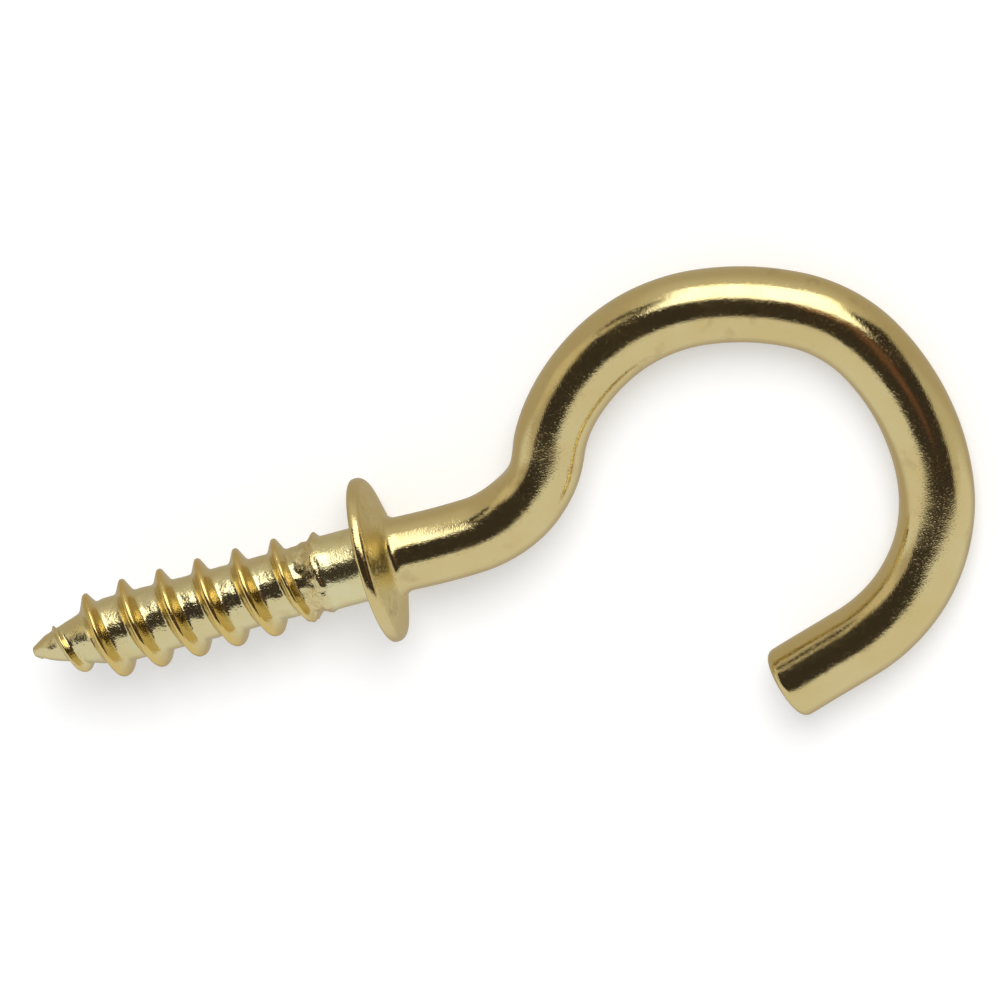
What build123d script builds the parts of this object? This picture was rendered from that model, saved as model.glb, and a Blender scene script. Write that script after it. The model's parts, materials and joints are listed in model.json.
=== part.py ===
from build123d import *
import os
from math import ceil, cos, pi, radians, sin, tan

# A shouldered cup hook: one length of round wire, with a wood-screw thread rolled on one end,
# a collar upset from the wire at the wall, and the other end bent into an open ring.
# Lengths are in millimetres and angles in degrees.

# Wire
wire_diameter = 2.75
end_round = 0.3

# Screw, measured from its tip
screw_length = 13.1
tip_flat_diameter = 0.22
point_length = 0.65
point_diameter = 0.96
taper_length = 3.05
plain_length = 1.1

# Right-hand thread
thread_diameter = 3.5
core_diameter = 2.48
thread_pitch = 1.46
thread_start = 0.5
thread_start_angle = -136.0
crest_width = 0.16
flank_angle = 28.5
crest_rise_length = 2.9
run_out_length = 2.4
core_rise_length = 1.2
core_rise_gap = 0.55
ridge_embed = 0.12
sections_per_turn = 10

# Collar, measured from its seat against the wall
collar_diameter = 6.15
collar_height = 0.93
rim_thickness = 0.41
rim_round = 0.16
seat_fillet = 0.38
neck_fillet = 0.3

# Hook, in the order that the wire is bent: straight neck from the seat, bend out, ring, straight end
neck_length = 3.84
offset_bend_radius = 4.07
offset_bend_angle = 63.4
ring_radii = (6.83, 9.45, 5.17, 8.61, 6.42)
ring_angles = (70.6, 20.5, 35.3, 35.0, 65.7)
end_length = 3.07

# Search for the pose in which the hook lies on a level surface
widest_tilt = 20.0
search_steps = 36
support_count = 120

wire_radius = wire_diameter / 2
core_radius = core_diameter / 2
crest_radius = thread_diameter / 2
collar_radius = collar_diameter / 2
thread_length = screw_length - plain_length
core_rise_end = thread_length - core_rise_gap
rim_top = screw_length + rim_thickness
collar_top = screw_length + collar_height
shank_end = collar_top + neck_fillet


def progress(value, low, high):
    """How far value has come from low to high, kept from 0 to 1."""
    return min(max((value - low) / (high - low), 0), 1)


def core_radius_at(height):
    """Radius of the screw's core at a height above its tip."""
    point = (point_diameter - tip_flat_diameter) * progress(height, 0, point_length)
    taper = (core_diameter - point_diameter) * progress(height, point_length, taper_length)
    rise_start = core_rise_end - core_rise_length
    rise = (wire_diameter - core_diameter) * progress(height, rise_start, core_rise_end)
    return (tip_flat_diameter + point + taper + rise) / 2


def crest_radius_at(height):
    """Radius of the thread's crest: it grows out of the point and fades into the plain shank."""
    start = core_radius_at(thread_start) - ridge_embed / 2
    end = wire_radius - ridge_embed / 2
    grown = sin(pi / 2 * progress(height, thread_start, thread_start + crest_rise_length))
    faded = progress(height, thread_length - run_out_length, thread_length)
    return start + (crest_radius - start) * grown - (crest_radius - end) * faded


def ridge_section(height):
    """The thread ridge's section in the half-plane through the axis where it reaches this height."""
    crest = crest_radius_at(height)
    root = core_radius_at(height) - ridge_embed
    crest_half = crest_width / 2
    root_half = crest_half + (crest - root) * tan(radians(flank_angle))
    outline = Polyline(
        (root, height - root_half),
        (crest, height - crest_half),
        (crest, height + crest_half),
        (root, height + root_half),
        close=True,
    )
    angle = thread_start_angle + (height - thread_start) / thread_pitch * 360
    return (Plane.XZ * make_face(outline)).rotate(Axis.Z, angle)


def make_thread():
    """The helical ridge, as one piece for each turn, on a screw that stands on its tip along +Z."""
    ridge_length = thread_length - thread_start
    count = ceil(ridge_length / thread_pitch * sections_per_turn)
    sections = [ridge_section(thread_start + ridge_length * step / count) for step in range(count + 1)]
    firsts = range(0, count, sections_per_turn)
    return [loft(sections[first : first + sections_per_turn + 1]) for first in firsts]


def make_shank():
    """The screw's core, the plain shank and the collar, turned about +Z from the tip upwards."""
    outline = Polyline(
        (0, 0),
        (core_radius_at(0), 0),
        (core_radius_at(point_length), point_length),
        (core_radius, taper_length),
        (core_radius, core_rise_end - core_rise_length),
        (wire_radius, core_rise_end),
        (wire_radius, screw_length),
        (collar_radius, screw_length),
        (collar_radius, rim_top),
        (wire_radius, collar_top),
        (wire_radius, shank_end),
        (0, shank_end),
        close=True,
    )
    rounds = {
        (wire_radius, screw_length): seat_fillet,
        (collar_radius, screw_length): rim_round,
        (collar_radius, rim_top): rim_round,
        (wire_radius, collar_top): neck_fillet,
    }
    profile = make_face(outline)
    for corner, radius in rounds.items():
        profile = fillet(profile.vertices().sort_by_distance(corner)[0], radius)
    return revolve(Plane.XZ * profile, Axis.Z)


def make_path():
    """The wire's middle line from above the collar to the hook's end, bent in the XZ plane."""
    path = [Line((0, shank_end), (0, screw_length + neck_length))]
    for radius, angle in [(offset_bend_radius, -offset_bend_angle), *zip(ring_radii, ring_angles)]:
        path.append(JernArc(path[-1] @ 1, path[-1] % 1, radius, angle))
    path.append(PolarLine(path[-1] @ 1, end_length, direction=path[-1] % 1))
    return Plane.XZ * Wire(path)


def make_hook(path):
    """The bent wire, with the edge of its cut end rounded."""
    section = Plane(origin=path @ 0, z_dir=path % 0) * Circle(wire_radius)
    wire = sweep(section, path=path)
    end_edge = wire.edges().filter_by(GeomType.CIRCLE).sort_by_distance(path @ 1)[0]
    return fillet(end_edge, end_round)


def support_balls(path):
    """Balls, as middle and radius, that stand for the wire and the collar's two rounded rims."""
    balls = [(path @ (step / support_count), wire_radius) for step in range(support_count + 1)]
    for height in (screw_length + rim_round, rim_top - rim_round):
        for step in range(support_count):
            middle = Vector(collar_radius - rim_round, 0, height)
            balls.append((middle.rotate(Axis.Z, 360 * step / support_count), rim_round))
    return [(ball.X, ball.Y, ball.Z, radius) for ball, radius in balls]


def lowest(function):
    """The tilt, up to the widest, at which a function with one valley is lowest."""
    low, high = -widest_tilt, widest_tilt
    for _ in range(search_steps):
        third = (high - low) / 3
        if function(low + third) < function(high - third):
            high -= third
        else:
            low += third
    return (low + high) / 2


def rest_normal(centre, balls):
    """The upward direction of a level surface on which the hook lies with its weight at its lowest."""

    def upward(roll, pitch):
        level = cos(radians(roll))
        return (sin(radians(roll)), level * cos(radians(pitch)), level * sin(radians(pitch)))

    def lift(roll, pitch):
        x, y, z = upward(roll, pitch)
        floor = min(x * ball[0] + y * ball[1] + z * ball[2] - ball[3] for ball in balls)
        return x * centre.X + y * centre.Y + z * centre.Z - floor

    def best_pitch(roll):
        return lowest(lambda pitch: lift(roll, pitch))

    roll = lowest(lambda tilt: lift(tilt, best_pitch(tilt)))
    return Vector(*upward(roll, best_pitch(roll)))


def lay_down(hook, path):
    """The hook as it lies: +Z up, the screw along X with its tip to -X, on the middle of its own foot."""
    normal = rest_normal(hook.center(CenterOf.MASS), support_balls(path))
    along = Vector(0, 0, 1) - normal * normal.Z
    lying = Plane(origin=(0, 0, 0), x_dir=along, z_dir=normal).to_local_coords(hook)
    box = lying.bounding_box()
    return Pos(-box.center().X, -box.center().Y, -box.min.Z) * lying


wire_path = make_path()
upright_hook = make_shank().fuse(make_hook(wire_path), *make_thread())
cup_hook = lay_down(upright_hook, wire_path)

os.makedirs("parts", exist_ok=True)
export_step(cup_hook, "parts/cup_hook.step")
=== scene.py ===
"""A brass-plated cup hook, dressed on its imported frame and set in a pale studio."""

import json
import logging
import math
from dataclasses import dataclass, field
from enum import Enum

import bmesh
import bpy
from bmesh.types import BMEdge, BMesh, BMVert
from mathutils import Matrix, Vector, noise


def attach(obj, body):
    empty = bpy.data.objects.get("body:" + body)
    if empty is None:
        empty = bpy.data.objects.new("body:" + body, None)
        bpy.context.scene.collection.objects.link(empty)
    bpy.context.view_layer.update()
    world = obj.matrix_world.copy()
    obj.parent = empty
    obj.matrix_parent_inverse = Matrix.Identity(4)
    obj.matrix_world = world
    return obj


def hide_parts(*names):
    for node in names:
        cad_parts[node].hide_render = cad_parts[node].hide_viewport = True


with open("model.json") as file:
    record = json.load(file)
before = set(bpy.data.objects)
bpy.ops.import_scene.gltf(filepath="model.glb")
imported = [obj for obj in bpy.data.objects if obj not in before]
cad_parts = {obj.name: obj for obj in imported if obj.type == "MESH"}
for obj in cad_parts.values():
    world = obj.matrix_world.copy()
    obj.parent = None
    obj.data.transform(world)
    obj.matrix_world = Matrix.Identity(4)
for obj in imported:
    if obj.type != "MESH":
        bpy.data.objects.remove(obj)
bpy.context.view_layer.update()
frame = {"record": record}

LOG = logging.getLogger("cup_hook")
MM = 0.001
WHITE = (1.0, 1.0, 1.0)
WIRE_RADIUS = 1.375

Colour = tuple[float, float, float]
Span = tuple[float, float]
Socket = bpy.types.NodeSocket
Feed = Socket | float | Colour | Vector
Inputs = dict[str | int, Feed]


class MaterialSlot(Enum):
    """The mesh's material slots, in order."""

    WIRE = 0
    THREAD = 1
    SHANK = 2
    COLLAR = 3


class SurfaceMask(Enum):
    """The vertex masks that the finishes read, with their names on the mesh."""

    # The ridge mask also places the painted reflection gold on the thread's ridges.
    RIDGE = "ridge"
    WEAR = "wear"


def progress(value: float, low: float, high: float) -> float:
    """How far value has come from low to high, kept from 0 to 1."""
    return min(max((value - low) / (high - low), 0.0), 1.0)


def swell(distance: float, reach: float) -> float:
    """A soft hump, 1 high in its middle and little more than a third of that at its reach."""
    return math.exp(-((distance / reach) ** 2))


def loop_verts(edges: list[BMEdge]) -> list[BMVert]:
    """The vertices of some edges, each once and in a steady order."""
    return list(dict.fromkeys(vert for edge in edges for vert in edge.verts))


def pick(geometry: list, kind: type) -> list:
    """The elements of one kind, such as edges, among an operator's results."""
    return [part for part in geometry if isinstance(part, kind)]


def open_loop(bm: BMesh, height: float, reach: float = 1e-3) -> list[BMEdge]:
    """The open edges that lie level at a height.

    Args:
        bm: The mesh.
        height: The height along the screw's axis.
        reach: How far from the height an edge may lie.

    Returns:
        The edges of the open loop.
    """
    return [
        edge
        for edge in bm.edges
        if len(edge.link_faces) == 1 and all(abs(vert.co.z - height) < reach for vert in edge.verts)
    ]


def wire_outline(bm: BMesh) -> list:
    """The vertices and edges that belong to no face yet, which a spin can turn."""
    edges = [edge for edge in bm.edges if not edge.link_faces]
    return loop_verts(edges) + edges


def draw_profile(
    bm: BMesh, points: list[Span], reaches: list[float], segments: int, longest: float
) -> list:
    """Draws an open outline in the XZ plane, rounds its corners and divides its long edges.

    Args:
        bm: The mesh that gets the outline.
        points: Radius and height of each corner, in order.
        reaches: How far each inner corner's round reaches along both sides.
        segments: Steps in each round.
        longest: The longest edge that may stay.

    Returns:
        The outline's vertices and edges.
    """
    verts = [bm.verts.new((radius, 0.0, height)) for radius, height in points]
    for pair in zip(verts, verts[1:]):
        bm.edges.new(pair)
    for vert, reach in zip(verts[1:-1], reaches):
        bmesh.ops.bevel(
            bm,
            geom=[vert],
            offset=reach,
            offset_type="OFFSET",
            affect="VERTICES",
            segments=segments,
            profile=0.5,
            material=-1,
        )
    for edge in pick(wire_outline(bm), BMEdge):
        cuts = math.ceil(edge.calc_length() / longest) - 1
        if cuts > 0:
            bmesh.ops.subdivide_edges(bm, edges=[edge], cuts=cuts)
    return wire_outline(bm)


@dataclass
class Screw:
    """The pointed wood-screw thread, in millimetres from its tip, standing along +Z."""

    length: float = 13.1
    plain_length: float = 1.1
    wire_radius: float = WIRE_RADIUS
    tip_radius: float = 0.11
    tip_stations: tuple[Span, ...] = ((1.1, 1.62), (0.75, 1.3), (0.6, 0.8))
    point_length: float = 0.65
    point_radius: float = 0.48
    taper_length: float = 3.05
    core_radius: float = 1.24
    crest_radius: float = 1.75
    pitch: float = 1.46
    thread_start: float = 0.5
    start_angle: float = -136.0
    crest_width: float = 0.16
    crest_round: float = 0.07
    root_round: float = 0.09
    round_segments: int = 4
    flank_angle: float = 28.5
    crest_rise_length: float = 2.9
    run_out_length: float = 2.4
    core_rise_length: float = 1.2
    core_rise_gap: float = 0.55
    ridge_embed: float = 0.12
    start_width_share: float = 0.25
    end_width_share: float = 0.75
    steps_per_turn: int = 96
    longest_edge: float = 0.08
    weld_reach: float = 0.0016
    cut_height: float = 0.3
    cut_snap: float = 0.008
    joint_gap: float = 0.25
    roll_mark_height: float = 0.014
    roll_mark_spacing: float = 0.4
    burr_place: float = 11.21
    burr_height: float = 0.075
    burr_reach: float = 0.16
    lump_height: float = 0.065
    lump_spacing: float = 0.26
    lump_place: float = 10.6
    lump_reach: float = 0.65
    torn_place: float = 10.9
    torn_reach: float = 0.36

    @property
    def thread_end(self) -> float:
        """Height at which the thread has faded into the plain shank."""
        return self.length - self.plain_length

    @property
    def core_rise_end(self) -> float:
        """Height at which the core has reached the wire's radius."""
        return self.thread_end - self.core_rise_gap

    @property
    def depth(self) -> float:
        """How far the full ridge stands out of the core."""
        return self.crest_radius - self.core_radius

    @property
    def ridge_half(self) -> float:
        """Half the full ridge's width at its root."""
        return self.crest_width / 2 + self.depth * math.tan(math.radians(self.flank_angle))

    def core_at(self, height: float) -> float:
        """Radius of the core at a height.

        Args:
            height: Height above the tip.

        Returns:
            The radius.
        """
        point = (self.point_radius - self.tip_radius) * progress(height, 0.0, self.point_length)
        tapered = progress(height, self.point_length, self.taper_length)
        taper = (self.core_radius - self.point_radius) * tapered
        rise_start = self.core_rise_end - self.core_rise_length
        rise = (self.wire_radius - self.core_radius) * progress(height, rise_start, self.core_rise_end)
        return self.tip_radius + point + taper + rise

    def crest_at(self, height: float) -> float:
        """Radius of the thread's crest where the ridge reaches a height.

        Args:
            height: Height above the tip.

        Returns:
            The radius, which is inside the core where there is no ridge.
        """
        start = self.core_at(self.thread_start) - self.ridge_embed / 2
        end = self.wire_radius - self.ridge_embed / 2
        rise_end = self.thread_start + self.crest_rise_length
        grown = math.sin(math.pi / 2 * progress(height, self.thread_start, rise_end))
        faded = progress(height, self.thread_end - self.run_out_length, self.thread_end)
        return start + (self.crest_radius - start) * grown - (self.crest_radius - end) * faded

    def torn_share(self, place: Vector) -> float:
        """How much the thread rolls tore the plate at a place.

        Args:
            place: The place.

        Returns:
            The share, from 0 to 1.
        """
        if place.xy.length > self.crest_radius:
            return 0.0
        return swell(place.z - self.torn_place, self.torn_reach)

    def build(self, bm: BMesh) -> None:
        """Winds one pitch of the profile up the screw, shapes its ends and closes the tip.

        Args:
            bm: The mesh that gets the screw, open at the top of the thread.
        """
        self._wind(bm)
        layer = bm.verts.layers.float[SurfaceMask.RIDGE.value]
        for vert in bm.verts:
            vert[layer] = self._shape(vert)
        self._trim(bm)
        self._close_tip(bm)

    def _wind(self, bm: BMesh) -> None:
        """Winds the profile of one pitch once round, and stacks that turn up past the run-out.

        Args:
            bm: The mesh that gets the wound surface.
        """
        half = self.pitch / 2
        crest_half = self.crest_width / 2
        points = [
            (self.core_radius, -half),
            (self.core_radius, -self.ridge_half),
            (self.crest_radius, -crest_half),
            (self.crest_radius, crest_half),
            (self.core_radius, self.ridge_half),
            (self.core_radius, half),
        ]
        reaches = [self.root_round, self.crest_round, self.crest_round, self.root_round]
        outline = draw_profile(bm, points, reaches, self.round_segments, self.longest_edge)
        first = self.cut_height - self.pitch
        angle = math.radians(self.start_angle + (first - self.thread_start) / self.pitch * 360.0)
        place = Matrix.Translation((0.0, 0.0, first)) @ Matrix.Rotation(angle, 4, "Z")
        bmesh.ops.transform(bm, matrix=place, verts=pick(outline, BMVert))
        bmesh.ops.spin(
            bm,
            geom=outline,
            axis=(0.0, 0.0, 1.0),
            dvec=(0.0, 0.0, self.pitch / self.steps_per_turn),
            angle=math.tau,
            steps=self.steps_per_turn,
        )
        turn = bm.verts[:] + bm.edges[:] + bm.faces[:]
        for count in range(1, math.ceil((self.thread_end - first) / self.pitch) + 1):
            copy = bmesh.ops.duplicate(bm, geom=turn)["geom"]
            bmesh.ops.translate(bm, vec=(0.0, 0.0, self.pitch * count), verts=pick(copy, BMVert))
        bmesh.ops.remove_doubles(bm, verts=bm.verts[:], dist=self.weld_reach)

    def _shape(self, vert: BMVert) -> float:
        """Moves a wound vertex to where the ridge and the core are at its height.

        Args:
            vert: The vertex.

        Returns:
            How much the vertex belongs to the ridge, from 0 to 1.
        """
        angle = math.degrees(math.atan2(vert.co.y, vert.co.x))
        radius = vert.co.xy.length
        turn = (vert.co.z - self.thread_start) / self.pitch - (angle - self.start_angle) / 360.0
        offset = (turn - round(turn)) * self.pitch
        middle = vert.co.z - offset
        ridge = max(self.crest_at(middle) - self.core_at(middle), 0.0)
        fading = middle > self.thread_end - self.run_out_length
        width = max(ridge / self.depth, self.end_width_share if fading else self.start_width_share)
        if abs(offset) < self.ridge_half:
            offset *= width
        else:
            spread = progress(abs(offset), self.ridge_half, self.pitch / 2)
            narrow = self.ridge_half * width
            offset = math.copysign(narrow + (self.pitch / 2 - narrow) * spread, offset)
        height = middle + offset
        reach = self.core_at(height) + (radius - self.core_radius) / self.depth * ridge
        place = Vector((vert.co.x / radius * reach, vert.co.y / radius * reach, height))
        share = 1.0 + self._relief(place) / reach
        vert.co = Vector((place.x * share, place.y * share, height))
        return progress(reach - self.core_at(height), 0.0, self.depth)

    def _relief(self, place: Vector) -> float:
        """How far rolling marks, and the lumpy burr where the thread rolls end, raise the surface.

        Args:
            place: The place on the smooth thread.

        Returns:
            The rise.
        """
        ends = progress(place.z, self.cut_height, self.point_length)
        ends *= progress(-place.z, -self.thread_end, -self.core_rise_end)
        marks = noise.noise(place / self.roll_mark_spacing) * self.roll_mark_height * ends
        lumps = noise.noise(place / self.lump_spacing)
        burr = swell(place.z - self.burr_place, self.burr_reach) * self.burr_height * (1.0 + lumps)
        rough = swell(place.z - self.lump_place, self.lump_reach) * self.lump_height * lumps
        return marks + burr + rough

    def _trim(self, bm: BMesh) -> None:
        """Cuts the wound surface level below the thread's start and above its end.

        Args:
            bm: The mesh that holds the wound surface.
        """
        for height, outward in ((self.cut_height, -1.0), (self.thread_end, 1.0)):
            for vert in bm.verts:
                if abs(vert.co.z - height) < self.cut_snap:
                    vert.co.z = height
            bmesh.ops.bisect_plane(
                bm,
                geom=bm.verts[:] + bm.edges[:] + bm.faces[:],
                dist=self.weld_reach,
                plane_co=(0.0, 0.0, height),
                plane_no=(0.0, 0.0, outward),
                clear_outer=True,
            )

    def _close_tip(self, bm: BMesh) -> None:
        """Draws the cut loop down to the blunt tip and closes it.

        Args:
            bm: The mesh that holds the trimmed thread.
        """
        loop = open_loop(bm, self.cut_height)
        radius, height = self.core_at(self.cut_height), self.cut_height
        for height_share, radius_share in self.tip_stations:
            next_height, next_radius = self.tip_radius * height_share, self.tip_radius * radius_share
            loop = pick(bmesh.ops.extrude_edge_only(bm, edges=loop)["geom"], BMEdge)
            verts = loop_verts(loop)
            share = next_radius / radius
            bmesh.ops.scale(bm, vec=(share, share, 1.0), verts=verts)
            bmesh.ops.translate(bm, vec=(0.0, 0.0, next_height - height), verts=verts)
            radius, height = next_radius, next_height
        bmesh.ops.holes_fill(bm, edges=loop, sides=0)


@dataclass
class Collar:
    """The plain shank, the collar that seats on the wall and the neck, turned about the screw's axis."""

    seat_height: float
    shank_start: float
    wire_radius: float = WIRE_RADIUS
    radius: float = 3.075
    height: float = 0.93
    rim_thickness: float = 0.41
    seat_rim_reach: float = 0.14
    face_rim_reach: float = 0.19
    seat_reach: float = 0.38
    neck_reach: float = 0.3
    neck_length: float = 3.84
    round_segments: int = 7
    sides: int = 96
    longest_edge: float = 0.25
    face_margin: float = 0.05
    stain_radius: float = 2.38
    stain_angle: float = 125.0
    stain_height: float = 0.62
    stain_reach: float = 0.5
    stain_share: float = 0.8

    @property
    def neck_end(self) -> float:
        """Height at which the neck ends and the first bend starts."""
        return self.seat_height + self.neck_length

    def on_face(self, place: Vector) -> bool:
        """Tells whether a place is on one of the collar's two faces, inside its rim and off the neck.

        Args:
            place: The place.

        Returns:
            Whether the collar's own finish belongs there.
        """
        inner = self.wire_radius + self.neck_reach / 2
        outer = self.radius - self.face_rim_reach
        level = -self.face_margin < place.z - self.seat_height < self.height
        return level and inner < place.xy.length < outer

    def stained_share(self, place: Vector) -> float:
        """How much of the stain on the collar's hook-side face shows at a place.

        Args:
            place: The place.

        Returns:
            The share, from 0 to 1.
        """
        angle = math.radians(self.stain_angle)
        across = Vector((math.cos(angle), math.sin(angle), 0.0)) * self.stain_radius
        stain = across + Vector((0.0, 0.0, self.seat_height + self.stain_height))
        return self.stain_share * swell((place - stain).length, self.stain_reach)

    def build(self, bm: BMesh) -> None:
        """Turns the profile about the screw's axis.

        Args:
            bm: The mesh that gets the collar, open at both ends.
        """
        points = [
            (self.wire_radius, self.shank_start),
            (self.wire_radius, self.seat_height),
            (self.radius, self.seat_height),
            (self.radius, self.seat_height + self.rim_thickness),
            (self.wire_radius, self.seat_height + self.height),
            (self.wire_radius, self.neck_end),
        ]
        reaches = [self.seat_reach, self.seat_rim_reach, self.face_rim_reach, self.neck_reach]
        outline = draw_profile(bm, points, reaches, self.round_segments, self.longest_edge)
        bmesh.ops.spin(
            bm,
            geom=outline,
            axis=(0.0, 0.0, 1.0),
            angle=math.tau,
            steps=self.sides,
            use_merge=True,
        )


@dataclass
class Bend:
    """One bend of the wire, to the left of its way if the angle is above 0."""

    radius: float
    angle: float


@dataclass
class Press:
    """A place in the hook's XZ plane where bending or clamping moved the wire's surface."""

    place: Span
    push: Span
    reach: float

    def moved(self, spot: Vector) -> Vector:
        """How far a spot on the wire was moved."""
        middle = Vector((self.place[0], 0.0, self.place[1]))
        return Vector((self.push[0], 0.0, self.push[1])) * swell((spot - middle).length, self.reach)


@dataclass
class Hook:
    """The bent wire from the neck to its cut end, bent in the XZ plane."""

    start_height: float
    wire_radius: float = WIRE_RADIUS
    bends: list[Bend] = field(
        default_factory=lambda: [
            Bend(4.07, -63.4),
            Bend(6.83, 70.6),
            Bend(9.45, 20.5),
            Bend(5.17, 35.3),
            Bend(8.61, 35.0),
            Bend(6.42, 65.7),
        ]
    )
    end_length: float = 3.1
    end_round: float = 0.3
    end_round_steps: int = 6
    end_face_shares: tuple[float, ...] = (0.7, 0.4)
    step_angle: float = 1.6
    step_length: float = 0.2
    presses: list[Press] = field(
        default_factory=lambda: [
            Press((2.35, 22.17), (0.045, -0.09), 1.5),
            Press((2.15, 18.95), (-0.09, 0.094), 0.7),
            Press((0.0, 15.9), (-0.15, 0.0), 1.7),
            Press((0.3, 20.7), (0.028, -0.035), 1.6),
            Press((5.77, 21.79), (-0.04, 0.03), 2.5),
        ]
    )

    def build(self, bm: BMesh, loop: list[BMEdge]) -> None:
        """Carries the neck's loop round the bends, closes the cut end and presses the wire.

        Args:
            bm: The mesh that holds the neck.
            loop: The neck's open loop.
        """
        place = Vector((0.0, 0.0, self.start_height))
        heading = math.pi / 2
        for bend in self.bends:
            turn = math.radians(bend.angle)
            side = math.copysign(bend.radius, turn)
            centre = place + side * self._left(heading)
            spun = bmesh.ops.spin(
                bm,
                geom=loop_verts(loop) + loop,
                cent=centre,
                axis=(0.0, -1.0, 0.0),
                angle=turn,
                steps=math.ceil(abs(bend.angle) / self.step_angle),
            )
            loop = pick(spun["geom_last"], BMEdge)
            heading += turn
            place = centre - side * self._left(heading)
        self._close_end(bm, loop, self._ahead(heading))
        for vert in bm.verts:
            vert.co += sum((press.moved(vert.co) for press in self.presses), Vector())

    def _ahead(self, heading: float) -> Vector:
        """The direction of a heading, which is an angle from +X towards +Z."""
        return Vector((math.cos(heading), 0.0, math.sin(heading)))

    def _left(self, heading: float) -> Vector:
        """The direction to the left of a heading."""
        return self._ahead(heading + math.pi / 2)

    def _advance(self, bm: BMesh, loop: list[BMEdge], step: Vector, share: float) -> list[BMEdge]:
        """Extrudes a loop by a step and scales it about its own middle.

        Args:
            bm: The mesh.
            loop: The open loop.
            step: How far the new loop moves.
            share: The new loop's size, as a share of the old one's.

        Returns:
            The new loop.
        """
        loop = pick(bmesh.ops.extrude_edge_only(bm, edges=loop)["geom"], BMEdge)
        verts = loop_verts(loop)
        bmesh.ops.translate(bm, vec=step, verts=verts)
        middle = sum((vert.co for vert in verts), Vector()) / len(verts)
        space = Matrix.Translation(-middle)
        bmesh.ops.scale(bm, vec=(share, share, share), space=space, verts=verts)
        return loop

    def _close_end(self, bm: BMesh, loop: list[BMEdge], ahead: Vector) -> None:
        """Runs the wire straight to its end, rounds the edge and closes the face.

        Args:
            bm: The mesh that holds the bent wire.
            loop: The open loop after the last bend.
            ahead: The direction of the straight end.
        """
        straight = self.end_length - self.end_round
        count = math.ceil(straight / self.step_length)
        for _ in range(count):
            loop = self._advance(bm, loop, ahead * (straight / count), 1.0)
        radius, depth = self.wire_radius, 0.0
        for step in range(1, self.end_round_steps + 1):
            angle = math.pi / 2 * step / self.end_round_steps
            next_radius = self.wire_radius - self.end_round * (1.0 - math.cos(angle))
            next_depth = self.end_round * math.sin(angle)
            loop = self._advance(bm, loop, ahead * (next_depth - depth), next_radius / radius)
            radius, depth = next_radius, next_depth
        for share in self.end_face_shares:
            loop = self._advance(bm, loop, Vector(), share)
        bmesh.ops.holes_fill(bm, edges=loop, sides=0)


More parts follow.
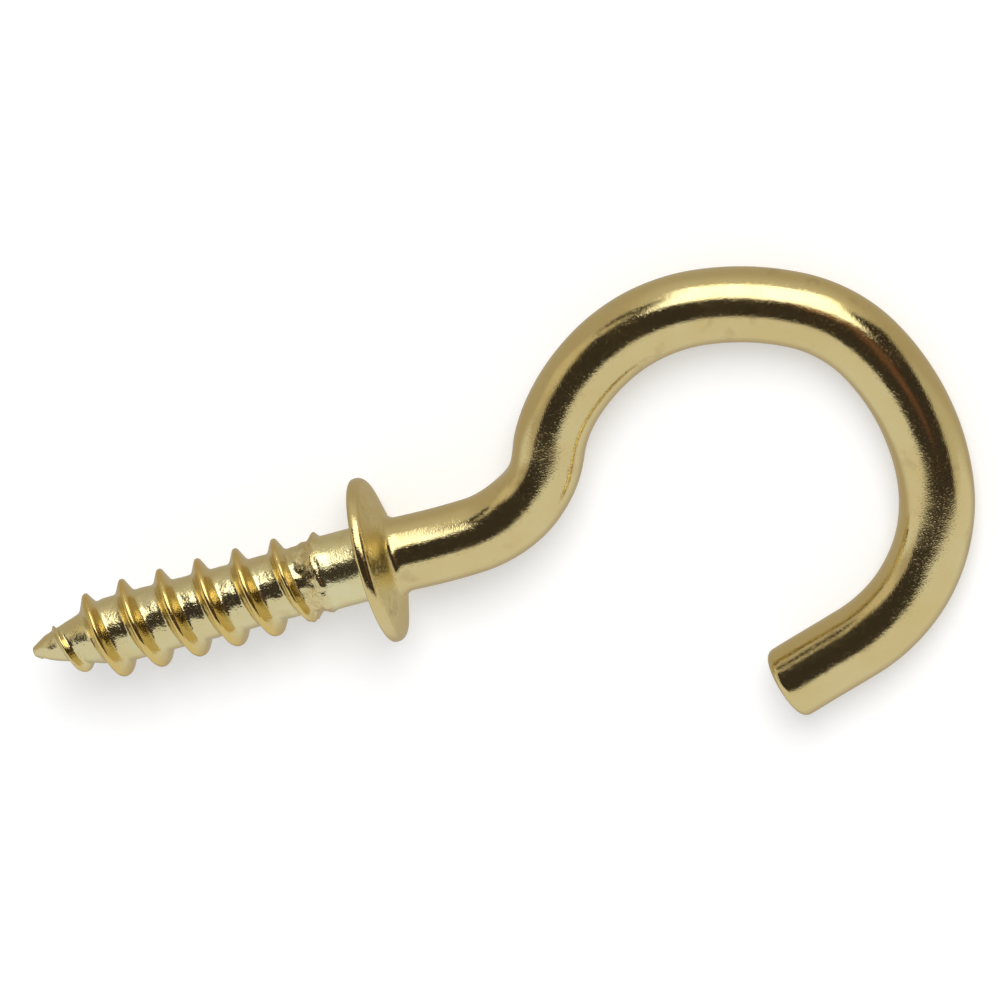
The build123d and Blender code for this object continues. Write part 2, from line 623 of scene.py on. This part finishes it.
@dataclass
class NodeBoard:
    """A node tree, with the few kinds of step that the finishes and the studio are made of."""

    tree: bpy.types.NodeTree

    def feed(self, node: bpy.types.Node, inputs: Inputs) -> None:
        """Gives a node its inputs.

        Args:
            node: The node.
            inputs: A link's source or a constant for each socket, by the socket's name or number.
        """
        for key, value in inputs.items():
            socket = node.inputs[key]
            if isinstance(value, Socket):
                self.tree.links.new(value, socket)
            elif socket.type == "RGBA":
                socket.default_value = (*value, 1.0)
            else:
                socket.default_value = value

    def add(self, kind: str, inputs: Inputs) -> bpy.types.Node:
        """Adds a node and gives it its inputs.

        Args:
            kind: The node's type.
            inputs: Its inputs, as feed takes them.

        Returns:
            The node.
        """
        node = self.tree.nodes.new(kind)
        self.feed(node, inputs)
        return node

    def group(self, effect: bpy.types.NodeTree, inputs: Inputs) -> bpy.types.Node:
        """Places a shared effect with its own values.

        Args:
            effect: The node group.
            inputs: Its inputs, as feed takes them.

        Returns:
            The group's node.
        """
        node = self.tree.nodes.new("ShaderNodeGroup")
        node.node_tree = effect
        self.feed(node, inputs)
        return node

    def math(self, operation: str, *values: Feed) -> Socket:
        """A step of arithmetic.

        Args:
            operation: The operation's name.
            values: A link's source or a number for each input.

        Returns:
            The result.
        """
        node = self.tree.nodes.new("ShaderNodeMath")
        node.operation = operation
        self.feed(node, dict(enumerate(values)))
        return node.outputs["Value"]

    def vector(self, operation: str, inputs: Inputs) -> bpy.types.Node:
        """A step of vector arithmetic.

        Args:
            operation: The operation's name.
            inputs: Its inputs, as feed takes them.

        Returns:
            The node, which puts out a vector or a value.
        """
        node = self.tree.nodes.new("ShaderNodeVectorMath")
        node.operation = operation
        self.feed(node, inputs)
        return node

    def product(self, masks: list[Socket]) -> Socket:
        """Masks multiplied.

        Args:
            masks: The masks, one or more.

        Returns:
            The mask where they all hold.
        """
        total = masks[0]
        for mask in masks[1:]:
            total = self.math("MULTIPLY", total, mask)
        return total

    def noise(self, vector: Socket, scale: Socket, detail: float, span: Span) -> Socket:
        """A mask that rises over a span of a noise's values.

        Args:
            vector: The place that the noise is read at.
            scale: Waves to a metre.
            detail: Octaves above the first.
            span: The values at which the mask is 0 and 1.

        Returns:
            The mask.
        """
        pattern = self.add("ShaderNodeTexNoise", {"Vector": vector, "Scale": scale, "Detail": detail})
        limits = {"From Min": span[0], "From Max": span[1]}
        ramp = self.add("ShaderNodeMapRange", {"Value": pattern.outputs["Fac"], **limits})
        return ramp.outputs["Result"]

    def edge(self, value: Socket, start: float, end: float) -> Socket:
        """A soft step from 0 to 1, which may also go downwards.

        Args:
            value: The value that the step follows.
            start: Where the mask is 0.
            end: Where the mask is 1.

        Returns:
            The mask.
        """
        limits = {"From Min": min(start, end), "From Max": max(start, end)}
        results = {"To Min": float(start > end), "To Max": float(start < end)}
        node = self.add("ShaderNodeMapRange", {"Value": value, **limits, **results})
        node.interpolation_type = "SMOOTHSTEP"
        return node.outputs["Result"]

    def mix(self, mask: Socket, under: Feed, over: Feed) -> Socket:
        """A colour laid over another one through a mask.

        Args:
            mask: Where the upper colour shows.
            under: The lower colour.
            over: The upper colour.

        Returns:
            The colour.
        """
        node = self.tree.nodes.new("ShaderNodeMix")
        node.data_type = "RGBA"
        self.feed(node, {"Factor": mask, "A": under, "B": over})
        return node.outputs["Result"]


def new_group(name: str, sockets_in: dict[str, str], sockets_out: dict[str, str]) -> NodeBoard:
    """Makes an empty shader node group with named sockets.

    Args:
        name: The group's name.
        sockets_in: Socket types of the inputs, by name.
        sockets_out: Socket types of the outputs, by name.

    Returns:
        The group's board, with its input and output nodes placed.
    """
    group = bpy.data.node_groups.new(name, "ShaderNodeTree")
    for socket, kind in sockets_in.items():
        group.interface.new_socket(name=socket, in_out="INPUT", socket_type=kind)
    for socket, kind in sockets_out.items():
        group.interface.new_socket(name=socket, in_out="OUTPUT", socket_type=kind)
    group.nodes.new("NodeGroupInput")
    group.nodes.new("NodeGroupOutput")
    return NodeBoard(group)


@dataclass(frozen=True)
class Relief:
    """One noise of the plate's relief: its octaves, and the span of its values that shows."""

    detail: float
    span: Span


@dataclass(frozen=True)
class PlateGrain:
    """The plate's fine grain, its sparse pits and its slow ripple, as one height and the pits' mask."""

    name: str = "plate_grain"
    grain: Relief = Relief(2.0, (0.0, 1.0))
    pit: Relief = Relief(0.0, (0.58, 0.74))
    ripple: Relief = Relief(1.0, (0.0, 1.0))
    calmed_share: float = 0.75

    def tree(self) -> bpy.types.NodeTree:
        """The node group, built once.

        Returns:
            The group, which puts out Height and Pits.
        """
        if self.name in bpy.data.node_groups:
            return bpy.data.node_groups[self.name]
        layers = {"Grain": self.grain, "Pit": self.pit, "Ripple": self.ripple}
        sockets_in = {"Vector": "NodeSocketVector", "Calm": "NodeSocketFloat"}
        for layer in layers:
            sockets_in.update({f"{layer} Scale": "NodeSocketFloat", f"{layer} Depth": "NodeSocketFloat"})
        sockets_out = {"Height": "NodeSocketFloat", "Pits": "NodeSocketFloat"}
        board = new_group(self.name, sockets_in, sockets_out)
        source = board.tree.nodes["Group Input"].outputs
        masks = {
            layer: board.noise(source["Vector"], source[f"{layer} Scale"], relief.detail, relief.span)
            for layer, relief in layers.items()
        }
        total = 0.0
        for layer, mask in masks.items():
            total = board.math("MULTIPLY_ADD", mask, source[f"{layer} Depth"], total)
        left = board.math("MULTIPLY_ADD", source["Calm"], -self.calmed_share, 1.0)
        height = board.math("MULTIPLY", total, left)
        board.feed(board.tree.nodes["Group Output"], {"Height": height, "Pits": masks["Pit"]})
        return board.tree


@dataclass(frozen=True)
class PlateTone:
    """The plate's clouds of colour, its stains, its worn specks, its uneven gloss and a painted
    reflection gold on the thread's ridges.
    """

    name: str = "plate_tone"
    colours: tuple[str, ...] = ("Plate", "Warm Plate", "Ridge Painted Reflection", "Stain")
    amounts: tuple[str, ...] = (
        "Ridge",
        "Wear",
        "Cloud Scale",
        "Stain Scale",
        "Stain Amount",
        "Speck Scale",
        "Roughness",
        "Cloud Gloss Loss",
        "Wear Gloss Loss",
    )
    detail: float = 3.0
    cloud_span: Span = (0.35, 0.65)
    stain_span: Span = (0.6, 0.75)
    speck_span: Span = (0.42, 0.68)

    def tree(self) -> bpy.types.NodeTree:
        """The node group, built once.

        Returns:
            The group, which puts out Color and Roughness.
        """
        if self.name in bpy.data.node_groups:
            return bpy.data.node_groups[self.name]
        sockets_in = {"Vector": "NodeSocketVector"}
        sockets_in.update({colour: "NodeSocketColor" for colour in self.colours})
        sockets_in.update({amount: "NodeSocketFloat" for amount in self.amounts})
        sockets_out = {"Color": "NodeSocketColor", "Roughness": "NodeSocketFloat"}
        board = new_group(self.name, sockets_in, sockets_out)
        source = board.tree.nodes["Group Input"].outputs
        clouds = board.noise(source["Vector"], source["Cloud Scale"], self.detail, self.cloud_span)
        stains = board.noise(source["Vector"], source["Stain Scale"], self.detail, self.stain_span)
        specks = board.noise(source["Vector"], source["Speck Scale"], self.detail, self.speck_span)
        stained = board.math("MULTIPLY", stains, source["Stain Amount"])
        worn = board.math("MULTIPLY", specks, source["Wear"])
        plate = board.mix(clouds, source["Plate"], source["Warm Plate"])
        # Painted reflection: the ridges get a deeper gold that stands for the thread's flanks mirroring
        # each other in the groove.
        plate = board.mix(source["Ridge"], plate, source["Ridge Painted Reflection"])
        plate = board.mix(board.math("MAXIMUM", stained, worn), plate, source["Stain"])
        gloss = board.math("MULTIPLY_ADD", clouds, source["Cloud Gloss Loss"], source["Roughness"])
        gloss = board.math("MULTIPLY_ADD", source["Wear"], source["Wear Gloss Loss"], gloss)
        board.feed(board.tree.nodes["Group Output"], {"Color": plate, "Roughness": gloss})
        return board.tree


@dataclass(frozen=True)
class PlateFinish:
    """A bright brass plate with a fine grain, in lengths of millimetres."""

    name: str
    colour: Colour
    warm_colour: Colour
    stain_colour: Colour
    roughness: float
    grain_size: float
    grain_depth: float
    pit_size: float
    pit_depth: float
    ripple_size: float
    ripple_depth: float
    cloud_size: float
    cloud_gloss_loss: float
    stain_size: float
    stain_amount: float
    # The ridges' painted reflection: a deeper gold that stands for the flanks mirroring each other in
    # the groove.
    ridge_painted_reflection: Colour | None = None
    pit_gloss_loss: float = 0.1
    speck_size: float = 0.12
    wear_gloss_loss: float = 0.05

    def make(self) -> bpy.types.Material:
        """Builds the material from the shared grain and tone groups.

        Returns:
            The material.
        """
        material = bpy.data.materials.new(self.name)
        material.use_nodes = True
        board = NodeBoard(material.node_tree)
        place = board.add("ShaderNodeTexCoord", {}).outputs["Object"]
        ridge = self._mask(board, SurfaceMask.RIDGE)
        tone_inputs = {
            "Vector": place,
            "Plate": self.colour,
            "Warm Plate": self.warm_colour,
            # Painted reflection colour for the thread's ridges, or the plain plate where there is none.
            "Ridge Painted Reflection": self.ridge_painted_reflection or self.colour,
            "Stain": self.stain_colour,
            "Ridge": ridge,
            "Wear": self._mask(board, SurfaceMask.WEAR),
            "Cloud Scale": self._waves(self.cloud_size),
            "Stain Scale": self._waves(self.stain_size),
            "Stain Amount": self.stain_amount,
            "Speck Scale": self._waves(self.speck_size),
            "Roughness": self.roughness,
            "Cloud Gloss Loss": self.cloud_gloss_loss,
            "Wear Gloss Loss": self.wear_gloss_loss,
        }
        grain_inputs = {
            "Vector": place,
            "Calm": ridge,
            "Grain Scale": self._waves(self.grain_size),
            "Grain Depth": self.grain_depth,
            "Pit Scale": self._waves(self.pit_size),
            "Pit Depth": -self.pit_depth,
            "Ripple Scale": self._waves(self.ripple_size),
            "Ripple Depth": self.ripple_depth,
        }
        tone = board.group(PlateTone().tree(), tone_inputs).outputs
        grain = board.group(PlateGrain().tree(), grain_inputs).outputs
        bump = board.add("ShaderNodeBump", {"Distance": MM, "Height": grain["Height"]})
        gloss = board.math("MULTIPLY_ADD", grain["Pits"], self.pit_gloss_loss, tone["Roughness"])
        shader_inputs = {
            "Base Color": tone["Color"],
            "Metallic": 1.0,
            "Roughness": gloss,
            "Normal": bump.outputs["Normal"],
        }
        board.feed(board.tree.nodes["Principled BSDF"], shader_inputs)
        return material

    def _waves(self, size: float) -> float:
        """Waves to a metre of a noise with grains of this size."""
        return 1.0 / (size * MM)

    def _mask(self, board: NodeBoard, mask: SurfaceMask) -> Socket:
        """Reads one of the mesh's own masks.

        Args:
            board: The material's board.
            mask: The mask.

        Returns:
            The mask's value over the surface.
        """
        node = board.add("ShaderNodeAttribute", {})
        node.attribute_name = mask.value
        return node.outputs["Fac"]


FINISHES = {
    MaterialSlot.WIRE: PlateFinish(
        name="brass_wire",
        colour=(0.74, 0.62, 0.31),
        warm_colour=(0.73, 0.59, 0.27),
        stain_colour=(0.42, 0.27, 0.12),
        roughness=0.09,
        grain_size=0.09,
        grain_depth=0.0048,
        pit_size=0.09,
        pit_depth=0.0018,
        ripple_size=0.7,
        ripple_depth=0.006,
        cloud_size=1.6,
        cloud_gloss_loss=0.06,
        stain_size=1.1,
        stain_amount=0.3,
        wear_gloss_loss=0.15,
    ),
    MaterialSlot.THREAD: PlateFinish(
        name="brass_thread",
        colour=(0.77, 0.69, 0.4),
        warm_colour=(0.76, 0.65, 0.33),
        # Painted reflection: a deeper gold on the ridges for the groove's flanks mirroring each other.
        ridge_painted_reflection=(0.76, 0.57, 0.2),
        stain_colour=(0.62, 0.44, 0.16),
        roughness=0.12,
        grain_size=0.1,
        grain_depth=0.009,
        pit_size=0.09,
        pit_depth=0.003,
        ripple_size=0.4,
        ripple_depth=0.012,
        cloud_size=1.1,
        cloud_gloss_loss=0.07,
        stain_size=0.7,
        stain_amount=0.3,
        speck_size=0.1,
        wear_gloss_loss=0.06,
    ),
    MaterialSlot.SHANK: PlateFinish(
        name="brass_shank",
        colour=(0.8, 0.74, 0.44),
        warm_colour=(0.79, 0.7, 0.37),
        stain_colour=(0.6, 0.43, 0.16),
        roughness=0.14,
        grain_size=0.075,
        grain_depth=0.005,
        pit_size=0.08,
        pit_depth=0.002,
        ripple_size=0.6,
        ripple_depth=0.008,
        cloud_size=1.1,
        cloud_gloss_loss=0.06,
        stain_size=0.9,
        stain_amount=0.25,
    ),
    MaterialSlot.COLLAR: PlateFinish(
        name="brass_collar",
        colour=(0.8, 0.69, 0.34),
        warm_colour=(0.78, 0.64, 0.28),
        stain_colour=(0.36, 0.27, 0.17),
        roughness=0.25,
        grain_size=0.08,
        grain_depth=0.006,
        pit_size=0.1,
        pit_depth=0.003,
        pit_gloss_loss=0.15,
        ripple_size=0.6,
        ripple_depth=0.008,
        cloud_size=0.9,
        cloud_gloss_loss=0.08,
        stain_size=0.8,
        stain_amount=0.4,
        speck_size=0.35,
    ),
}


@dataclass
class CupHook:
    """The whole hook: one length of wire, threaded, collared, bent and plated."""

    screw: Screw
    collar: Collar
    hook: Hook
    dent_height: float = 0.008
    dent_spacing: float = 1.6
    seat_margin: float = 0.05
    burr_margin: float = 0.24
    name: str = "plated_cup_hook"

    def placement(self) -> Matrix:
        """Where the upright hook lies in the frame, from the record's seat and hook end.

        Returns:
            The matrix from upright millimetres to the frame's metres.
        """
        mounts = {mount["name"]: mount for mount in frame["record"]["mounts"]}
        seat = Vector(mounts["wall_seat"]["pos_m"])
        up = -Vector(mounts["wall_seat"]["axis"]).normalized()
        to_end = Vector(mounts["hook_end"]["pos_m"]) - seat
        out = -(to_end - up * to_end.dot(up)).normalized()
        across = up.cross(out)
        turn = Matrix((out, across, up)).transposed().to_4x4()
        lower = Matrix.Translation((0.0, 0.0, -self.screw.length))
        return Matrix.Translation(seat) @ turn @ Matrix.Scale(MM, 4) @ lower

    def build(self) -> bpy.types.Object:
        """Models the wire as one closed mesh, lays it in the frame and plates it.

        Returns:
            The piece.
        """
        bm = bmesh.new()
        for mask in SurfaceMask:
            bm.verts.layers.float.new(mask.value)
        self.screw.build(bm)
        LOG.info("thread wound: %d faces", len(bm.faces))
        self.collar.build(bm)
        joint = open_loop(bm, self.screw.thread_end) + open_loop(bm, self.collar.shank_start)
        bmesh.ops.bridge_loops(bm, edges=joint)
        LOG.info("collar turned: %d faces", len(bm.faces))
        self.hook.build(bm, open_loop(bm, self.collar.neck_end))
        LOG.info("hook bent: %d faces", len(bm.faces))
        bmesh.ops.recalc_face_normals(bm, faces=bm.faces[:])
        self._dent(bm)
        self._mark(bm)
        bmesh.ops.transform(bm, matrix=self.placement(), verts=bm.verts[:])
        mesh = bpy.data.meshes.new(self.name)
        bm.to_mesh(mesh)
        bm.free()
        piece = bpy.data.objects.new(self.name, mesh)
        bpy.context.scene.collection.objects.link(piece)
        self._dress(piece)
        return piece

    def _dent(self, bm: BMesh) -> None:
        """Gives the drawn wire its faint unevenness.

        Args:
            bm: The closed mesh.
        """
        bm.normal_update()
        moves = [
            vert.normal * noise.noise(vert.co / self.dent_spacing) * self.dent_height
            for vert in bm.verts
        ]
        for vert, move in zip(bm.verts, moves):
            vert.co += move

    def _mark(self, bm: BMesh) -> None:
        """Marks the worn places and gives each face its finish.

        Args:
            bm: The closed mesh, still upright.
        """
        wear = bm.verts.layers.float[SurfaceMask.WEAR.value]
        for vert in bm.verts:
            vert[wear] = self.screw.torn_share(vert.co) + self.collar.stained_share(vert.co)
        for face in bm.faces:
            face.smooth = True
            face.material_index = self._slot_at(face.calc_center_median()).value

    def _slot_at(self, place: Vector) -> MaterialSlot:
        """The finish at a place.

        Args:
            place: The place, on the upright hook.

        Returns:
            The material slot.
        """
        if place.z < self.screw.burr_place + self.burr_margin:
            return MaterialSlot.THREAD
        if place.z < self.collar.seat_height - self.seat_margin:
            return MaterialSlot.SHANK
        return MaterialSlot.COLLAR if self.collar.on_face(place) else MaterialSlot.WIRE

    def _dress(self, piece: bpy.types.Object) -> None:
        """Plates the piece and ties it to the frame.

        Args:
            piece: The hook's mesh object.
        """
        for slot in MaterialSlot:
            piece.data.materials.append(FINISHES[slot].make())
        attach(piece, "root")
        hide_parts("cup_hook")
        triangles = sum(len(face.vertices) - 2 for face in piece.data.polygons)
        LOG.info("%s plated: %d triangles", piece.name, triangles)


def direction(azimuth: float, elevation: float) -> Vector:
    """The unit vector at an azimuth from +X and an elevation above the floor, in degrees."""
    turn, rise = math.radians(azimuth), math.radians(elevation)
    return Vector((math.cos(rise) * math.cos(turn), math.cos(rise) * math.sin(turn), math.sin(rise)))


@dataclass
class View:
    """The camera at the photograph's angle. The image is square."""

    azimuth: float = 45.2838
    elevation: float = 68.3309
    roll: float = 151.086
    distance: float = 0.50497
    aim: tuple[float, float, float] = (0.000369, 0.001852, 0.001573)
    lens: float = 500.0
    sensor: float = 36.0
    clip_start: float = 0.01
    clip_end: float = 20.0

    def axes(self) -> Matrix:
        """The camera's right, up and backward directions as the columns of a turn.

        Returns:
            The turn from the camera's axes to the frame's.
        """
        back = direction(self.azimuth, self.elevation)
        upright = (Vector((0.0, 0.0, 1.0)) - back * back.z).normalized()
        side = upright.cross(back)
        roll = math.radians(self.roll)
        up = upright * math.cos(roll) + side * math.sin(roll)
        return Matrix((up.cross(back), up, back)).transposed()

    def place(self) -> None:
        """Makes the camera and gives it to the scene."""
        data = bpy.data.cameras.new("view")
        data.lens = self.lens
        data.sensor_width = self.sensor
        data.sensor_fit = "HORIZONTAL"
        data.clip_start = self.clip_start
        data.clip_end = self.clip_end
        camera = bpy.data.objects.new("view", data)
        bpy.context.scene.collection.objects.link(camera)
        turn = self.axes()
        stand = Vector(self.aim) + turn.col[2] * self.distance
        camera.matrix_world = Matrix.Translation(stand) @ turn.to_4x4()
        bpy.context.scene.camera = camera


@dataclass
class Card:
    """A card of the light tent, in degrees right of and above the tent's opening."""

    right: Span
    above: Span
    softness: float
    colour: Colour


@dataclass
class Tent:
    """The light tent that the metal mirrors. Its dark opening is where the photograph's camera stood."""

    turn: Matrix
    daylight: Colour = (0.5, 0.5, 0.5)
    walls: Colour = (0.5, 0.45, 0.37)
    sweep: Colour = (0.77, 0.77, 0.77)
    sweep_tilt: float = 38.9
    sweep_lean: float = 0.0375
    sweep_softness: float = 0.03
    sweep_top: Span = (10.0, -6.0)
    sweep_left: Span = (-116.0, -86.0)
    back_edge: Span = (112.0, 155.0)
    cards: list[Card] = field(
        default_factory=lambda: [
            Card((62.0, 130.0), (-60.0, 25.0), 16.0, (0.62, 0.6, 0.54)),
            Card((-48.0, 48.0), (0.0, 88.0), 22.0, (0.66, 0.63, 0.56)),
            Card((-85.0, -50.0), (2.0, 36.0), 5.0, (0.68, 0.62, 0.5)),
            Card((-59.0, 10.0), (-75.0, 23.0), 4.0, (0.045, 0.037, 0.033)),
            Card((-5.0, 61.0), (-75.0, 46.0), 4.0, (0.045, 0.036, 0.033)),
            Card((-60.0, -33.0), (32.0, 42.5), 3.0, (0.05, 0.045, 0.035)),
            Card((-43.0, -35.0), (18.0, 36.0), 3.5, (0.07, 0.06, 0.045)),
            Card((-2.0, 24.0), (8.0, 22.0), 4.0, (0.27, 0.145, 0.08)),
            Card((15.0, 27.0), (-19.0, 10.0), 4.5, (0.17, 0.085, 0.06)),
            Card((-31.0, 29.5), (18.5, 62.0), 3.5, (2.4, 2.4, 2.4)),
        ]
    )

    def hang(self) -> None:
        """Makes the world: metal mirrors the tent, other light is even, and the camera sees white."""
        world = bpy.data.worlds.new("light_tent")
        bpy.context.scene.world = world
        world.use_nodes = True
        board = NodeBoard(world.node_tree)
        path = board.add("ShaderNodeLightPath", {}).outputs
        light = board.mix(path["Is Glossy Ray"], self.daylight, self._mirrored(board))
        seen = board.mix(path["Is Camera Ray"], light, WHITE)
        board.feed(board.tree.nodes["Background"], {"Color": seen})

    def _mirrored(self, board: NodeBoard) -> Socket:
        """The tent's colour in the direction that is looked at.

        Args:
            board: The world's board.

        Returns:
            The colour.
        """
        place = board.add("ShaderNodeTexCoord", {}).outputs["Generated"]
        turn = board.add("ShaderNodeMapping", {"Vector": place})
        turn.vector_type = "VECTOR"
        turn.inputs["Rotation"].default_value = self.turn.transposed().to_euler()
        towards = turn.outputs["Vector"]
        parts = board.add("ShaderNodeSeparateXYZ", {"Vector": towards})
        off_axis = board.math("DEGREES", board.math("ARCCOSINE", parts.outputs["Z"]))
        flat = board.vector("MULTIPLY", {0: towards, 1: Vector((1.0, 1.0, 0.0))})
        aside = board.vector("NORMALIZE", {0: flat.outputs["Vector"]})
        spread = board.vector("SCALE", {0: aside.outputs["Vector"], "Scale": off_axis})
        angles = board.add("ShaderNodeSeparateXYZ", {"Vector": spread.outputs["Vector"]}).outputs
        colour = self.walls
        for card in self.cards:
            colour = board.mix(self._shown(board, card, angles), colour, card.colour)
        tilt = math.radians(self.sweep_tilt)
        rise = Vector((self.sweep_lean, math.cos(tilt), math.sin(tilt)))
        height = board.vector("DOT_PRODUCT", {0: towards, 1: rise})
        sweep_masks = [
            board.edge(height.outputs["Value"], self.sweep_softness, -self.sweep_softness),
            board.edge(angles["Y"], *self.sweep_top),
            board.edge(angles["X"], *self.sweep_left),
        ]
        colour = board.mix(board.product(sweep_masks), colour, self.sweep)
        return board.mix(board.edge(off_axis, *self.back_edge), colour, self.walls)

    def _shown(self, board: NodeBoard, card: Card, angles: bpy.types.bpy_prop_collection) -> Socket:
        """Where a card shows.

        Args:
            board: The world's board.
            card: The card.
            angles: Sockets X and Y with the degrees right of and above the opening.

        Returns:
            The card's mask.
        """
        masks = []
        for side, (low, high) in (("X", card.right), ("Y", card.above)):
            masks.append(board.edge(angles[side], low - card.softness, low + card.softness))
            masks.append(board.edge(angles[side], high + card.softness, high - card.softness))
        return board.product(masks)


@dataclass
class Studio:
    """A plain pale floor in the light tent, with one broad lamp."""

    tent: Tent
    floor_size: float = 3.0
    floor_colour: Colour = (0.8, 0.8, 0.8)
    floor_glow: float = 0.31
    lamp_azimuth: float = 58.0
    lamp_elevation: float = 54.0
    lamp_spread: float = 30.0
    lamp_strength: float = 1.8

    def build(self) -> None:
        """Lays the floor, hangs the tent and lights the lamp."""
        self._lay_floor()
        self.tent.hang()
        self._light_lamp()

    def _lay_floor(self) -> None:
        """Lays the floor under the hook. Metal mirrors the tent's own pale sweep in its place."""
        bm = bmesh.new()
        bmesh.ops.create_grid(bm, x_segments=1, y_segments=1, size=self.floor_size / 2)
        mesh = bpy.data.meshes.new("floor")
        bm.to_mesh(mesh)
        bm.free()
        floor = bpy.data.objects.new("floor", mesh)
        bpy.context.scene.collection.objects.link(floor)
        floor.visible_glossy = False
        mesh.materials.append(self._floor_material())

    def _floor_material(self) -> bpy.types.Material:
        """A dull pale finish that looks white to the camera where no shadow falls.

        Returns:
            The material.
        """
        material = bpy.data.materials.new("pale_floor")
        material.use_nodes = True
        board = NodeBoard(material.node_tree)
        path = board.add("ShaderNodeLightPath", {}).outputs
        shader_inputs = {
            "Base Color": self.floor_colour,
            "Roughness": 1.0,
            "Specular IOR Level": 0.0,
            "Emission Color": WHITE,
            "Emission Strength": board.math("MULTIPLY", path["Is Camera Ray"], self.floor_glow),
        }
        board.feed(board.tree.nodes["Principled BSDF"], shader_inputs)
        return material

    def _light_lamp(self) -> None:
        """Lights the broad lamp that gives the hook its soft shadow."""
        data = bpy.data.lights.new("broad_lamp", "SUN")
        data.energy = self.lamp_strength
        data.angle = math.radians(self.lamp_spread)
        lamp = bpy.data.objects.new("broad_lamp", data)
        bpy.context.scene.collection.objects.link(lamp)
        towards = direction(self.lamp_azimuth, self.lamp_elevation)
        lamp.rotation_euler = towards.to_track_quat("Z", "Y").to_euler()
        lamp.visible_glossy = False


def main() -> None:
    """Builds the hook, the camera and the studio in order."""
    logging.basicConfig(level=logging.INFO, format="%(name)s: %(message)s")
    bpy.context.scene.view_settings.view_transform = "Standard"
    screw = Screw()
    collar = Collar(seat_height=screw.length, shank_start=screw.thread_end + screw.joint_gap)
    hook = Hook(start_height=collar.neck_end)
    CupHook(screw, collar, hook).build()
    view = View()
    view.place()
    LOG.info("camera placed")
    Studio(Tent(turn=view.axes())).build()
    LOG.info("studio lit")


if __name__ == "__main__":
    main()
